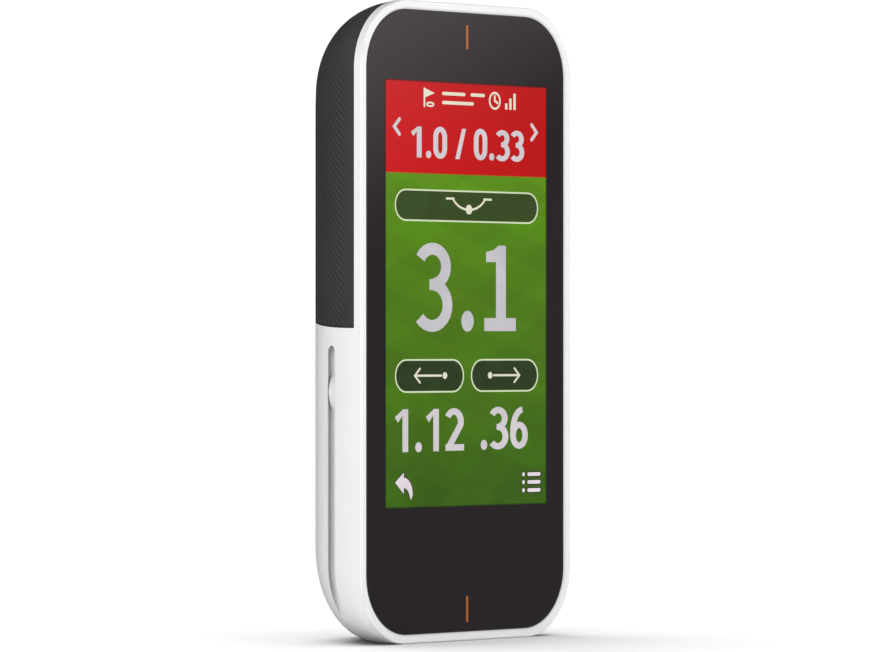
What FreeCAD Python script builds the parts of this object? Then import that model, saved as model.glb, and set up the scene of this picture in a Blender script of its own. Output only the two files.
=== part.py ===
import FreeCAD, Part
import math
import os

# Pocket golf launch monitor, stood on its lower end.  All sizes in mm.
# +Z is up, the screen faces -Y and +X is to the right seen from the screen side.
# "Depth" is measured back from the front rim; the origin is under the centre of the box.

# ---- driving sizes --------------------------------------------------------
WIDTH = 62.0            # overall, across the screen
HEIGHT = 124.0          # overall, standing
DEPTH = 27.0            # front rim to the flat on the back
CORNER_R = 13.5         # outer corner seen from the front
RIM_DEPTH = 2.3         # straight part of the side
COVER_FRONT = 1.9       # front edge of the dark cover
SIDE_SEMI = 25.3        # depth semi-axis of the rounded sides
WALL = 2.0

TOP_DROP = 42.0         # how far the top would lean in at TOP_SEMI depth
TOP_SEMI = 27.5
FOOT_DEPTH = 16.0       # flat part of the lower end
FOOT_SEMI = 14.0
FOOT_RISE = 10.0
FOOT_CUT = 0.15         # shaved off the lower end to give a true flat
TOP_CORNER_END = 2.9    # corner radii of the section at full depth
LOW_CORNER_END = 21.0

RIM_W = 1.75            # width of the front rim around the glass
GLASS_TOP = 0.3         # glass face below the rim
GLASS_T = 1.0
LEDGE_FRONT = 1.5       # shelf the glass is bonded to
LEDGE_BACK = 2.5
OPEN_W = 54.0           # opening through the shelf
OPEN_H = 116.0

GROOVE_DEPTH = 8.75     # clip groove down each side
GROOVE_HALF = 1.4       # half its width between the walls
GROOVE_CUT = 0.9        # how far it is sunk
GROOVE_LIP_R = 0.25     # rounding where it opens
GROOVE_LIP_OUT = 0.04   # how far the rounding would pass the wall, which leaves a clean edge
GROOVE_FLOOR_R = 0.3    # rounding at its floor
GROOVE_TOP = 57.65
GROOVE_RUNOUT_R = 20.0
GROOVE_RUNOUT_ANGLE = 60
DETENT_Z = 48.5
DETENT_R = 9.1
DETENT_BELOW = 0.2

BUTTON_Z = 95.0
BUTTON_D = 10.4
BUTTON_LEN = 12.0
BUTTON_W = 4.0
BUTTON_PROUD = 0.45
BUTTON_GAP = 0.2

DOOR_Z0 = 20.6          # charging port cover on the lower back
DOOR_HINGE_Z = 30.0
DOOR_HINGE_D = 25.8
DOOR_HALF = 7.5
DOOR_GAP = 0.2
DOOR_T = 1.5
KNUCKLE_R = 1.1
PIN_R = 0.4
PIN_FIT = 0.05

FRAME_FRONT = 4.8       # chassis plate
FRAME_BACK = 6.0
BOARD_FRONT = 8.0
BOARD_BACK = 9.2
RADAR_FRONT = 14.0
RADAR_BACK = 15.0

SCREEN_Z = (26.1, 108.35)
SCREEN_HALF = 23.95

FRONT_Y = -DEPTH / 2.0
MID_Z = HEIGHT / 2.0
BIG = 80.0

os.makedirs("parts", exist_ok=True)


# ---- helpers ----------------------------------------------------------------
def vec(x, depth, z):
    """A point given by its depth behind the front rim."""
    return FreeCAD.Vector(x, FRONT_Y + depth, z)


def box(x0, x1, d0, d1, z0, z1):
    return Part.makeBox(x1 - x0, d1 - d0, z1 - z0, vec(x0, d0, z0))


def rod_y(radius, x, z, d0, d1):
    return Part.makeCylinder(radius, d1 - d0, vec(x, d0, z), FreeCAD.Vector(0, 1, 0))


def rod_x(radius, x0, x1, depth, z):
    return Part.makeCylinder(radius, x1 - x0, vec(x0, depth, z), FreeCAD.Vector(1, 0, 0))


def fuse(shapes):
    out = shapes[0]
    for shape in shapes[1:]:
        out = out.fuse(shape)
    return out.removeSplitter()


def cut_all(shape, tools):
    for tool in tools:
        shape = shape.cut(tool)
    return shape


def outline(half, z_top, z_low, r_top, r_low, depth):
    """Closed rounded rectangle in the XZ plane, always eight edges."""
    k = math.sqrt(0.5)
    corners = [
        (half - r_top, z_top - r_top, r_top, 1, 1),
        (half - r_low, z_low + r_low, r_low, 1, -1),
        (-half + r_low, z_low + r_low, r_low, -1, -1),
        (-half + r_top, z_top - r_top, r_top, -1, 1),
    ]
    arcs = []
    for cx, cz, r, sx, sz in corners:
        end_v = vec(cx, depth, cz + sz * r)
        mid = vec(cx + sx * r * k, depth, cz + sz * r * k)
        end_h = vec(cx + sx * r, depth, cz)
        arcs.append((end_v, mid, end_h) if sx * sz > 0 else (end_h, mid, end_v))
    edges = []
    for i, (start, mid, end) in enumerate(arcs):
        edges.append(Part.Arc(start, mid, end).toShape())
        edges.append(Part.LineSegment(end, arcs[(i + 1) % 4][0]).toShape())
    return Part.Wire(edges)


def plate(half, z_low, z_top, r, d0, d1):
    face = Part.Face(outline(half, z_top, z_low, r, r, d0))
    return face.extrude(FreeCAD.Vector(0, d1 - d0, 0))


def ring(half, z_low, z_top, r, width, d0, d1):
    inner = plate(half - width, z_low + width, z_top - width, r - width, d0 - 1, d1 + 1)
    return plate(half, z_low, z_top, r, d0, d1).cut(inner)


def prism_x(points, x0, x1):
    """Polygon of (depth, z) points pushed out along X."""
    pts = [vec(x0, d, z) for d, z in points]
    face = Part.Face(Part.makePolygon(pts + [pts[0]]))
    return face.extrude(FreeCAD.Vector(x1 - x0, 0, 0))


def dip(u):
    """Fall of a quarter circle of unit size at run u."""
    return 1.0 - math.sqrt(max(0.0, 1.0 - u * u))


def shell_loft(half, semi, start, end, top, low, drop, top_semi, foot, rise, r0, r_t, r_l):
    """Rounded back of the case, lofted through sections from start to end depth."""
    last = math.asin((end - start) / semi)
    wires = []
    count = 11
    for i in range(count):
        s = math.sin(last * i / (count - 1))
        depth = start + semi * s
        w = half * math.sqrt(1.0 - s * s)
        z_top = top - drop * (dip(depth / top_semi) - dip(start / top_semi))
        z_low = low + rise * dip(max(0.0, depth - foot) / FOOT_SEMI)
        r_top = min(r0 + (r_t - r0) * s, w - 0.6)
        r_low = min(r0 + (r_l - r0) * s, w - 0.6)
        wires.append(outline(w, z_top, z_low, r_top, r_low, depth))
    return Part.makeLoft(wires, True, False)


def save(name, shape):
    shape.exportStep("parts/" + name + ".step")


def side_half(depth):
    """Half width of the case at a depth, on its straight sides."""
    run = max(0.0, depth - RIM_DEPTH) / SIDE_SEMI
    return WIDTH / 2 * math.sqrt(1.0 - run * run)


# ---- case ---------------------------------------------------------------------
rim = plate(WIDTH / 2, -FOOT_CUT, HEIGHT, CORNER_R, 0, RIM_DEPTH)
front_edges = [e for e in rim.Edges if abs(e.BoundBox.YMax - FRONT_Y) < 1e-6]
rim = rim.makeFillet(0.35, front_edges)
back = shell_loft(WIDTH / 2, SIDE_SEMI, RIM_DEPTH, DEPTH, HEIGHT, -FOOT_CUT, TOP_DROP, TOP_SEMI,
                  FOOT_DEPTH, FOOT_RISE, CORNER_R, TOP_CORNER_END, LOW_CORNER_END)
outer = rim.fuse(back).common(box(-BIG, BIG, -5, 60, 0, 2 * BIG))

inner = shell_loft(WIDTH / 2 - WALL, SIDE_SEMI - WALL, LEDGE_BACK, DEPTH - WALL,
                   HEIGHT - WALL, WALL, TOP_DROP, TOP_SEMI - WALL,
                   FOOT_DEPTH - 1, FOOT_RISE - WALL, CORNER_R - WALL,
                   TOP_CORNER_END - 1, LOW_CORNER_END - WALL)

glass_half = WIDTH / 2 - RIM_W
glass_r = CORNER_R - RIM_W
pocket = plate(glass_half, RIM_W, HEIGHT - RIM_W, glass_r, -1, LEDGE_FRONT)
opening = plate(OPEN_W / 2, MID_Z - OPEN_H / 2, MID_Z + OPEN_H / 2, 9.5, 0, LEDGE_BACK + 0.5)
lead_in = Part.makeLoft([
    outline(glass_half + 0.4, HEIGHT - RIM_W + 0.4, RIM_W - 0.4, glass_r + 0.4, glass_r + 0.4, 0),
    outline(glass_half, HEIGHT - RIM_W, RIM_W, glass_r, glass_r, 0.4),
], True, True)
shell = cut_all(outer, [inner, pocket, opening, lead_in])

# The dark cover takes the case above a line that climbs gently towards the back.
seam = [(COVER_FRONT, 60.8), (14.0, 61.42), (30.0, 64.3)]
seam_arc = Part.Arc(*[vec(-BIG / 2, d, z) for d, z in seam]).toShape()
seam_side = Part.makePolygon([vec(-BIG / 2, d, z) for d, z in
                              [seam[2], (30.0, 130.0), (COVER_FRONT, 130.0), seam[0]]])
cover_zone = Part.Face(Part.Wire([seam_arc] + seam_side.Edges))
cover_zone = cover_zone.extrude(FreeCAD.Vector(BIG, 0, 0))
cover_zone = cover_zone.cut(plate(WIDTH / 2 - WALL, WALL, HEIGHT - WALL, CORNER_R - WALL,
                                  0, LEDGE_BACK))

housing = shell.cut(cover_zone)
cover = shell.common(cover_zone)

# Bosses for the screws, and thicker wall behind the side grooves.
HOUSING_BOSS = [(-23.5, 14.0), (23.5, 14.0), (-23.5, 56.0), (23.5, 56.0)]
COVER_BOSS = [(-24.0, 70.0), (24.0, 70.0), (-23.6, 106.0), (23.6, 106.0)]
BOSS_R = 2.4
INSERT_R = 1.5
INSERT_LEN = 4.0


def bosses(spots, zone):
    posts = []
    for x, z in spots:
        posts.append(rod_y(BOSS_R, x, z, FRAME_BACK, DEPTH).common(outer))
    return [p.common(zone) for p in posts]


house_zone = box(-40, 40, -5, 40, -5, 60.7)
backing = []
for side in (-1, 1):
    x0, x1 = sorted((side * 26.4, side * 32.0))
    backing.append(box(x0, x1, 6.4, 11.4, 3.0, 60.6).common(outer))
port_block = box(-10.5, 10.5, 22.0, 28.0, 16.5, 34.5).common(outer)
housing = fuse([housing] + bosses(HOUSING_BOSS, house_zone) + backing + [port_block])

cover_posts = bosses(COVER_BOSS, cover_zone)
button_x = side_half(BUTTON_D)
BUTTON_SEAT = 25.2
button_pad = box(BUTTON_SEAT, 31.0, BUTTON_D - 4.4, BUTTON_D + 4.4,
                 BUTTON_Z - 8.5, BUTTON_Z + 8.5).common(outer)
cover = fuse([cover] + cover_posts + [button_pad])

for x, z in HOUSING_BOSS:
    housing = housing.cut(rod_y(INSERT_R, x, z, FRAME_BACK - 0.5, FRAME_BACK + INSERT_LEN))
for x, z in COVER_BOSS:
    cover = cover.cut(rod_y(INSERT_R, x, z, FRAME_BACK - 0.5, FRAME_BACK + INSERT_LEN))

# Side grooves: straight from the top, then running out round the lower corner.  Their section
# stands square to the wall, which leans at this depth.
groove_x = side_half(GROOVE_DEPTH)
lean = math.atan((WIDTH / 2 / SIDE_SEMI) ** 2 * (GROOVE_DEPTH - RIM_DEPTH) / groove_x)
groove_end = GROOVE_TOP - GROOVE_HALF - GROOVE_LIP_R
low_r = CORNER_R + (LOW_CORNER_END - CORNER_R) * (GROOVE_DEPTH - RIM_DEPTH) / SIDE_SEMI


def groove_point(across, below, z=groove_end):
    """A point behind the groove's middle and below the wall's surface."""
    return vec(groove_x - across * math.sin(lean) - below * math.cos(lean),
               GROOVE_DEPTH + across * math.cos(lean) - below * math.sin(lean), z)


def groove_side(sign):
    """Edges of half the section, from above its middle to the middle of its floor."""
    lip = GROOVE_HALF + GROOVE_LIP_R
    floor = GROOVE_CUT - GROOVE_FLOOR_R
    near = 1 - math.sqrt(0.5)
    over = groove_point(0, -GROOVE_LIP_R)
    corner = groove_point(sign * lip, -GROOVE_LIP_R)
    mouth = groove_point(sign * lip, -GROOVE_LIP_OUT)
    mouth_mid = groove_point(sign * (GROOVE_HALF + near * GROOVE_LIP_R),
                             near * GROOVE_LIP_R - GROOVE_LIP_OUT)
    wall_top = groove_point(sign * GROOVE_HALF, GROOVE_LIP_R - GROOVE_LIP_OUT)
    wall_low = groove_point(sign * GROOVE_HALF, floor)
    floor_mid = groove_point(sign * (GROOVE_HALF - near * GROOVE_FLOOR_R),
                             GROOVE_CUT - near * GROOVE_FLOOR_R)
    floor_edge = groove_point(sign * (GROOVE_HALF - GROOVE_FLOOR_R), GROOVE_CUT)
    return [
        Part.makeLine(over, corner),
        Part.makeLine(corner, mouth),
        Part.Arc(mouth, mouth_mid, wall_top).toShape(),
        Part.makeLine(wall_top, wall_low),
        Part.Arc(wall_low, floor_mid, floor_edge).toShape(),
        Part.makeLine(floor_edge, groove_point(0, GROOVE_CUT)),
    ]


section = Part.Face(Part.Wire(Part.__sortEdges__(groove_side(1) + groove_side(-1))))
fall = FreeCAD.Vector(0, 0, low_r - groove_end)
straight = section.extrude(fall)
section.translate(fall)
run_out_centre = vec(groove_x - GROOVE_RUNOUT_R, 0, low_r)
run_out = section.revolve(run_out_centre, FreeCAD.Vector(0, 1, 0), GROOVE_RUNOUT_ANGLE)
middle_line = Part.makeLine(groove_point(0, GROOVE_CUT), groove_point(0, -GROOVE_LIP_R))
half_section = Part.Face(Part.Wire(Part.__sortEdges__(groove_side(1) + [middle_line])))
outward = FreeCAD.Vector(math.cos(lean), math.sin(lean), 0)
round_end = half_section.revolve(groove_point(0, 0), outward, 360)
along_wall = FreeCAD.Vector(-math.sin(lean), math.cos(lean), 0)
bump = Part.makeCylinder(DETENT_R, 6, groove_point(-3, DETENT_BELOW + DETENT_R, DETENT_Z), along_wall)
groove = [straight.cut(bump), run_out, round_end]
housing = housing.cut(groove)
housing = housing.cut([s.mirror(FreeCAD.Vector(), FreeCAD.Vector(1, 0, 0)) for s in groove])
housing = housing.removeSplitter()

# Pocket for the port cover, mouth of the port and the hinge pin seats.
door_pocket = box(-DOOR_HALF - DOOR_GAP, DOOR_HALF + DOOR_GAP, 24.4, 29,
                  DOOR_Z0 - DOOR_GAP, DOOR_HINGE_Z + KNUCKLE_R + 0.3)
PORT_Z = 25.2
PORT_HALF_W = 4.5
PORT_HALF_H = 1.65
port_hole = box(-PORT_HALF_W - 0.05, PORT_HALF_W + 0.05, 20, 25,
                PORT_Z - PORT_HALF_H - 0.05, PORT_Z + PORT_HALF_H + 0.05)
pin_seat = rod_x(PIN_R, -9.0, 9.0, DOOR_HINGE_D, DOOR_HINGE_Z)
housing = cut_all(housing, [door_pocket, port_hole, pin_seat])
save("main_housing", housing)

# Power button on the right-hand side, through the dark cover.
def pill_x(length, width, x0, x1):
    r = width / 2
    h = length / 2 - r
    parts = [
        box(x0, x1, BUTTON_D - r, BUTTON_D + r, BUTTON_Z - h, BUTTON_Z + h),
        rod_x(r, x0, x1, BUTTON_D, BUTTON_Z - h),
        rod_x(r, x0, x1, BUTTON_D, BUTTON_Z + h),
    ]
    return fuse(parts)


cover = cover.cut(pill_x(BUTTON_LEN + 2 * BUTTON_GAP, BUTTON_W + 2 * BUTTON_GAP, 20, 35))
save("rear_cover", cover)

# The cap's face is a plane set off from the wall, with the wall's own slope.
slope = -(WIDTH / 2 / SIDE_SEMI) ** 2 * (BUTTON_D - RIM_DEPTH) / button_x
face_x = button_x + BUTTON_PROUD
cap_zone = Part.Face(Part.makePolygon([
    vec(20, BUTTON_D - 6, 80),
    vec(face_x - 6 * slope, BUTTON_D - 6, 80),
    vec(face_x + 6 * slope, BUTTON_D + 6, 80),
    vec(20, BUTTON_D + 6, 80),
    vec(20, BUTTON_D - 6, 80),
])).extrude(FreeCAD.Vector(0, 0, 30))
button = pill_x(BUTTON_LEN, BUTTON_W, BUTTON_SEAT - 0.2, 35).common(cap_zone)
flange = pill_x(BUTTON_LEN + 2.4, BUTTON_W + 2.4, BUTTON_SEAT - 1.0, BUTTON_SEAT - 0.1)
save("power_button", fuse([button, flange]))

# ---- display stack ---------------------------------------------------------------
GLASS_GAP = 0.05
glass_back = GLASS_TOP + GLASS_T
glass = plate(glass_half - GLASS_GAP, RIM_W + GLASS_GAP, HEIGHT - RIM_W - GLASS_GAP,
              glass_r - GLASS_GAP, GLASS_TOP, glass_back)
glass_front = [e for e in glass.Edges if abs(e.BoundBox.YMax - (FRONT_Y + GLASS_TOP)) < 1e-6]
glass = glass.makeFillet(0.2, glass_front)
save("cover_glass", glass)
save("glass_adhesive", ring(28.8, 2.2, 121.8, 11.3, 1.5, glass_back, LEDGE_FRONT))

MARK_T = 0.04
mark_top = HEIGHT - RIM_W - 2.4
marks = [
    box(-0.275, 0.275, GLASS_TOP - MARK_T, GLASS_TOP, mark_top - 4.65, mark_top),
    box(-0.275, 0.275, GLASS_TOP - MARK_T, GLASS_TOP, RIM_W + 1.9, RIM_W + 6.9),
]
save("alignment_marks", Part.makeCompound(marks))

save("touch_panel", plate(26.0, 6.5, 117.5, 6.0, glass_back, 1.8))
save("lcd_panel", box(-25.2, 25.2, 1.8, 3.0, 24.0, 110.4))
save("backlight", box(-25.2, 25.2, 3.0, 4.2, 24.0, 110.4))
tray = box(-25.8, 25.8, 2.0, FRAME_FRONT, 23.4, 111.0)
tray = tray.cut(box(-25.3, 25.3, 1.0, 4.2, 23.9, 110.5))
tray = tray.cut(box(-6.5, 6.5, 1.0, 3.4, 110.0, 112.0))
save("display_tray", tray)

# ---- chassis plate -----------------------------------------------------------------
frame = plate(26.6, 4.4, 119.6, 9.0, FRAME_FRONT, FRAME_BACK)
BOARD_POST = [(-18.5, 69.0), (18.5, 69.0), (-18.5, 109.0), (18.5, 109.0)]
posts = [rod_y(2.0, x, z, FRAME_BACK, BOARD_FRONT) for x, z in BOARD_POST]
ribs = [box(-24.5, 24.5, FRAME_BACK, FRAME_BACK + 1.0, z, z + 1.0) for z in (61.5, 117.0)]
ribs += [box(x, x + 0.8, FRAME_BACK, FRAME_BACK + 1.0, 62.5, 66.0) for x in (-10, 9.2)]
frame = fuse([frame] + posts + ribs)
for x, z in HOUSING_BOSS + COVER_BOSS:
    frame = frame.cut(rod_y(0.9, x, z, 4, 7))
    frame = frame.cut(rod_y(1.7, x, z, 4, FRAME_FRONT + 0.6))
for x, z in BOARD_POST:
    frame = frame.cut(rod_y(0.6, x, z, 5.4, 9))
frame = frame.cut(box(-7.0, 7.0, 4, 7, 112.6, 114.2))
frame = frame.cut(box(8.5, 16.5, 4, 7, 113.8, 115.4))
for x0, x1, z0, z1 in ((-20, -3, 84, 104), (3, 20, 84, 104), (-16, 16, 71, 80)):
    frame = frame.cut(plate((x1 - x0) / 2, z0, z1, 2.0, 4, 7).translated(
        FreeCAD.Vector((x0 + x1) / 2, 0, 0)))
save("mid_frame", frame)

# ---- electronics ---------------------------------------------------------------------
board = box(-21, 21, BOARD_FRONT, BOARD_BACK, 66, 112)
board = board.fuse(box(21, 23.4, BOARD_FRONT, BOARD_BACK, 90, 100)).removeSplitter()
for x, z in BOARD_POST:
    board = board.cut(rod_y(0.85, x, z, 7, 10))
save("main_board", board)

chips = [
    box(-15, -5, BOARD_BACK, BOARD_BACK + 1.1, 74, 84),
    box(4.5, 12.5, BOARD_BACK, BOARD_BACK + 1.0, 75, 83),
    box(-19.5, -14.5, BOARD_BACK, BOARD_BACK + 0.9, 98, 104),
    box(-8, 2, BOARD_FRONT - 1.0, BOARD_FRONT, 92, 100),
    box(6, 12, BOARD_FRONT - 0.9, BOARD_FRONT, 86, 92),
]
for i in range(6):
    chips.append(box(-19.8, -18.2, BOARD_BACK, BOARD_BACK + 0.8, 75 + 2.2 * i, 76 + 2.2 * i))
save("main_chips", Part.makeCompound(chips))


def can(x0, x1, z0, z1):
    shape = box(x0, x1, BOARD_BACK, BOARD_BACK + 2.2, z0, z1)
    return shape.cut(box(x0 + 0.2, x1 - 0.2, 9, BOARD_BACK + 2.0, z0 + 0.2, z1 - 0.2))


save("shield_cans", Part.makeCompound([can(-16.5, -3, 72, 86), can(3, 16.5, 72, 86)]))

connectors = [
    box(-6.5, 6.5, 6.9, BOARD_FRONT, 107.5, 110.5),
    box(9.0, 16.0, 6.9, BOARD_FRONT, 103.0, 106.0),
]
save("display_connectors", Part.makeCompound(connectors))
save("display_ribbon", prism_x([(2.8, 110.4), (3.0, 110.4), (3.0, 113.3), (7.3, 113.3),
                                (7.3, 110.5), (7.5, 110.5), (7.5, 113.5), (2.8, 113.5)],
                               -6.0, 6.0))
save("touch_ribbon", prism_x([(1.8, 111.6), (2.0, 111.6), (2.0, 114.5), (7.3, 114.5),
                              (7.3, 106.0), (7.5, 106.0), (7.5, 114.7), (1.8, 114.7)],
                             9.5, 15.5))

save("gps_antenna", box(-9, 9, BOARD_BACK, BOARD_BACK + 4.0, 93.2, 111.2))
gps_patch = box(-7.5, 7.5, BOARD_BACK + 4.0, BOARD_BACK + 4.1, 94.7, 109.7)
save("gps_patch", gps_patch)
save("buzzer", rod_y(4.0, 14.0, 102.8, BOARD_BACK, BOARD_BACK + 2.5).cut(
    rod_y(0.8, 14.0, 102.8, BOARD_BACK + 1.5, BOARD_BACK + 3)))

RADAR_POST = [(-14.8, 69.0), (14.8, 69.0), (-14.8, 89.5), (14.8, 89.5)]
radar = box(-17, 17, RADAR_FRONT, RADAR_BACK, 66.5, 92.0)
for x, z in RADAR_POST:
    radar = radar.cut(rod_y(0.65, x, z, 13, 16))
save("radar_board", radar)
patches = []
for column in range(4):
    for row in range(3):
        x = -10.5 + 7.0 * column
        z = 72.6 + 6.6 * row
        patches.append(box(x - 2.2, x + 2.2, RADAR_BACK, RADAR_BACK + 0.1, z - 2.0, z + 2.0))
save("radar_patches", Part.makeCompound(patches))
save("radar_chips", Part.makeCompound([
    box(-3.5, 3.5, RADAR_FRONT - 1.0, RADAR_FRONT, 76, 83),
    box(6.0, 10.0, RADAR_FRONT - 0.8, RADAR_FRONT, 77, 81),
]))
spacers = [rod_y(1.5, x, z, BOARD_BACK, RADAR_FRONT).cut(rod_y(0.6, x, z, 9, 15))
           for x, z in RADAR_POST]
save("radar_spacers", Part.makeCompound(spacers))
save("radar_connector", box(-5, 5, BOARD_BACK, RADAR_FRONT, 87.6, 91.2))

# ---- battery ---------------------------------------------------------------------------
pack = plate(18.5, 9.0, 56.0, 2.0, 6.6, 15.0)
pack = pack.makeFillet(1.2, [e for e in pack.Edges if abs(e.BoundBox.YLength) < 1e-6])
save("battery_pack", pack)
save("battery_pad", box(-16, 16, FRAME_BACK, 6.6, 12, 53))
strap = box(-21, 21, FRAME_BACK, 15.6, 21, 44).cut(box(-18.7, 18.7, 5, 15.0, 20, 45))
strap = strap.cut(box(-22, -19.3, 6.6, 16, 20, 45)).cut(box(19.3, 22, 6.6, 16, 20, 45))
save("battery_retainer", strap)
save("battery_board", box(-9, 9, 8.0, 9.0, 56.2, 60.4))
save("battery_plug", box(-9.5, -3.5, BOARD_BACK, BOARD_BACK + 2.4, 66.2, 69.4))


def wire_run(points, radius):
    """Round lead through the given (x, depth, z) points."""
    pieces = []
    for start, end in zip(points[:-1], points[1:]):
        p = vec(*start)
        q = vec(*end)
        pieces.append(Part.makeCylinder(radius, (q - p).Length, p, q - p))
        pieces.append(Part.makeSphere(radius, q))
    return fuse(pieces[:-1])


leads = []
for x in (-8.2, -6.5, -4.8):
    leads.append(wire_run([(x, 9.0, 58.2), (x, 10.4, 58.2), (x, 10.4, 66.2)], 0.45))
save("battery_lead", Part.makeCompound(leads))

# ---- side switch -----------------------------------------------------------------------
switch = box(19.8, 23.0, BOARD_BACK, BOARD_BACK + 2.6, BUTTON_Z - 3.2, BUTTON_Z + 3.2)
switch = switch.fuse(box(23.0, 23.6, 9.8, 11.2, BUTTON_Z - 1.4, BUTTON_Z + 1.4))
save("button_switch", switch.removeSplitter())

# ---- charging port ------------------------------------------------------------------------
port_low = PORT_Z - PORT_HALF_H
save("port_board", box(-9.0, 9.0, 16.2, 21.9, port_low - 1.0, port_low))
socket = box(-PORT_HALF_W, PORT_HALF_W, 17.4, 24.4, port_low, PORT_Z + PORT_HALF_H)
socket = socket.cut(box(-PORT_HALF_W + 0.3, PORT_HALF_W - 0.3, 17.9, 25,
                        port_low + 0.3, PORT_Z + PORT_HALF_H - 0.3))
save("usb_shell", socket)
save("usb_tongue", box(-3.3, 3.3, 17.9, 23.6, PORT_Z - 0.35, PORT_Z + 0.35))
save("port_chips", Part.makeCompound([
    box(-8.4, -5.4, 17.0, 20.0, port_low, port_low + 0.9),
    box(5.6, 7.4, 17.0, 21.0, port_low, port_low + 0.8),
]))
save("port_ribbon", prism_x([(16.4, port_low - 1.0), (16.4, port_low - 1.8), (16.0, port_low - 1.8),
                             (16.0, 62.0), (10.0, 62.0), (10.0, 66.0), (9.8, 66.0), (9.8, 61.8),
                             (15.8, 61.8), (15.8, port_low - 2.0), (16.6, port_low - 2.0),
                             (16.6, port_low - 1.0)], 2.0, 7.0))

# Port cover: a rubber flap on a steel pin, with a plug that fills the mouth.
flap = box(-DOOR_HALF, DOOR_HALF, DEPTH - 0.1 - DOOR_T, DEPTH + 1, DOOR_Z0, DOOR_HINGE_Z)
flap = flap.common(outer)
knuckle = rod_x(KNUCKLE_R, -DOOR_HALF, DOOR_HALF, DOOR_HINGE_D, DOOR_HINGE_Z)
flap = fuse([flap, knuckle])
notch = box(-1.6, 1.6, DEPTH - 0.35, DEPTH + 1, DOOR_Z0 - 1, DOOR_Z0 + 0.9)
flap = flap.cut(notch).cut(rod_x(PIN_R + PIN_FIT, -10, 10, DOOR_HINGE_D, DOOR_HINGE_Z))
save("port_door", flap)
flap_back = DEPTH - 0.1 - DOOR_T
save("port_plug", box(-3.7, 3.7, flap_back - 0.7, flap_back, PORT_Z - 0.9, PORT_Z + 0.9))
save("door_pin", rod_x(PIN_R, -9.0, 9.0, DOOR_HINGE_D, DOOR_HINGE_Z))


# ---- fasteners and seal --------------------------------------------------------------------
def screw(x, z, head_r, head_d0, head_d1, shank_r, shank_end):
    """Small pan head screw driven from head_d0 towards shank_end."""
    head = rod_y(head_r, x, z, min(head_d0, head_d1), max(head_d0, head_d1))
    shank = rod_y(shank_r, x, z, min(head_d1, shank_end), max(head_d1, shank_end))
    slot_d = head_d0 + 0.25 if shank_end > head_d0 else head_d0 - 0.25
    d0, d1 = sorted((head_d0, slot_d))
    cross = [box(x - head_r * 0.6, x + head_r * 0.6, d0 - 0.01, d1, z - 0.15, z + 0.15),
             box(x - 0.15, x + 0.15, d0 - 0.01, d1, z - head_r * 0.6, z + head_r * 0.6)]
    return cut_all(head.fuse(shank), cross).removeSplitter()


save("frame_screws", Part.makeCompound(
    [screw(x, z, 1.6, FRAME_FRONT + 0.05, FRAME_FRONT + 0.6, 0.78, 9.4) for x, z in HOUSING_BOSS]))
save("cover_screws", Part.makeCompound(
    [screw(x, z, 1.6, FRAME_FRONT + 0.05, FRAME_FRONT + 0.6, 0.78, 9.4) for x, z in COVER_BOSS]))
save("board_screws", Part.makeCompound(
    [screw(x, z, 1.4, BOARD_BACK + 0.9, BOARD_BACK, 0.55, 5.6) for x, z in BOARD_POST]))
save("radar_screws", Part.makeCompound(
    [screw(x, z, 1.2, RADAR_BACK + 0.7, RADAR_BACK, 0.55, 10.5) for x, z in RADAR_POST]))
inserts = []
for x, z in HOUSING_BOSS + COVER_BOSS:
    tube = rod_y(INSERT_R, x, z, FRAME_BACK, FRAME_BACK + INSERT_LEN)
    inserts.append(tube.cut(rod_y(0.82, x, z, FRAME_BACK - 1, FRAME_BACK + INSERT_LEN + 1)))
save("thread_inserts", Part.makeCompound(inserts))

seal = ring(28.7, 3.5, 120.5, 11.2, 1.3, LEDGE_BACK, LEDGE_BACK + 0.8)
save("cover_gasket", seal.common(box(-40, 40, 0, 10, 63.0, 130)))
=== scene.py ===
"""The looks of a hand-held launch monitor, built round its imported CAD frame.

Sizes inside this script are millimetres, and become metres when a mesh is made. A place is given as
(x, depth, z): depth runs from the front face, at the rim round the glass, towards the back.
"""
import math

import bpy
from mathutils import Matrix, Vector
from mathutils.geometry import delaunay_2d_cdt


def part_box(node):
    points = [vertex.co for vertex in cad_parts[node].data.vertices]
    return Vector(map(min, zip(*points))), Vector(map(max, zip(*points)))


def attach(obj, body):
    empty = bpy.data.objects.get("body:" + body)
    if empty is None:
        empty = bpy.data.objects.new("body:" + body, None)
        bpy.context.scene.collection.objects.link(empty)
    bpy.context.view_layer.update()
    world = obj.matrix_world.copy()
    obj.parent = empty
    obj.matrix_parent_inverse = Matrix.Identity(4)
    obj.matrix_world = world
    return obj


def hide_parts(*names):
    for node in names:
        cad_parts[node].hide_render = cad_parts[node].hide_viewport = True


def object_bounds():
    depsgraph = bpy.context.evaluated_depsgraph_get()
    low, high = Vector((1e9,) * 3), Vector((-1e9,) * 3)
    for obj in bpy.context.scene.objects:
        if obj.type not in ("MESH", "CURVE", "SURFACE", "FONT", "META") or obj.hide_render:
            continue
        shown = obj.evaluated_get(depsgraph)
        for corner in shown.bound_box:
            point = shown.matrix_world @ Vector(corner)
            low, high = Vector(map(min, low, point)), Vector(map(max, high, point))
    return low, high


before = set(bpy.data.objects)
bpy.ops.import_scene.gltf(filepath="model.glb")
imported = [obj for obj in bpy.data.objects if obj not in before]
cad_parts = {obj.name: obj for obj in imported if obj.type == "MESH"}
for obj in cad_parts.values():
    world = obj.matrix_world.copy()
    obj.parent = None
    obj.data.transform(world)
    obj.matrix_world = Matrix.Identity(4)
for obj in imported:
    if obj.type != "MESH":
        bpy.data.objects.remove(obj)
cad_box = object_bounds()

MM = 0.001
FRONT = cad_box[0].y / MM
HALF_WIDTH = cad_box[1].x / MM
HEIGHT = cad_box[1].z / MM
DEPTH = (cad_box[1].y - cad_box[0].y) / MM

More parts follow.
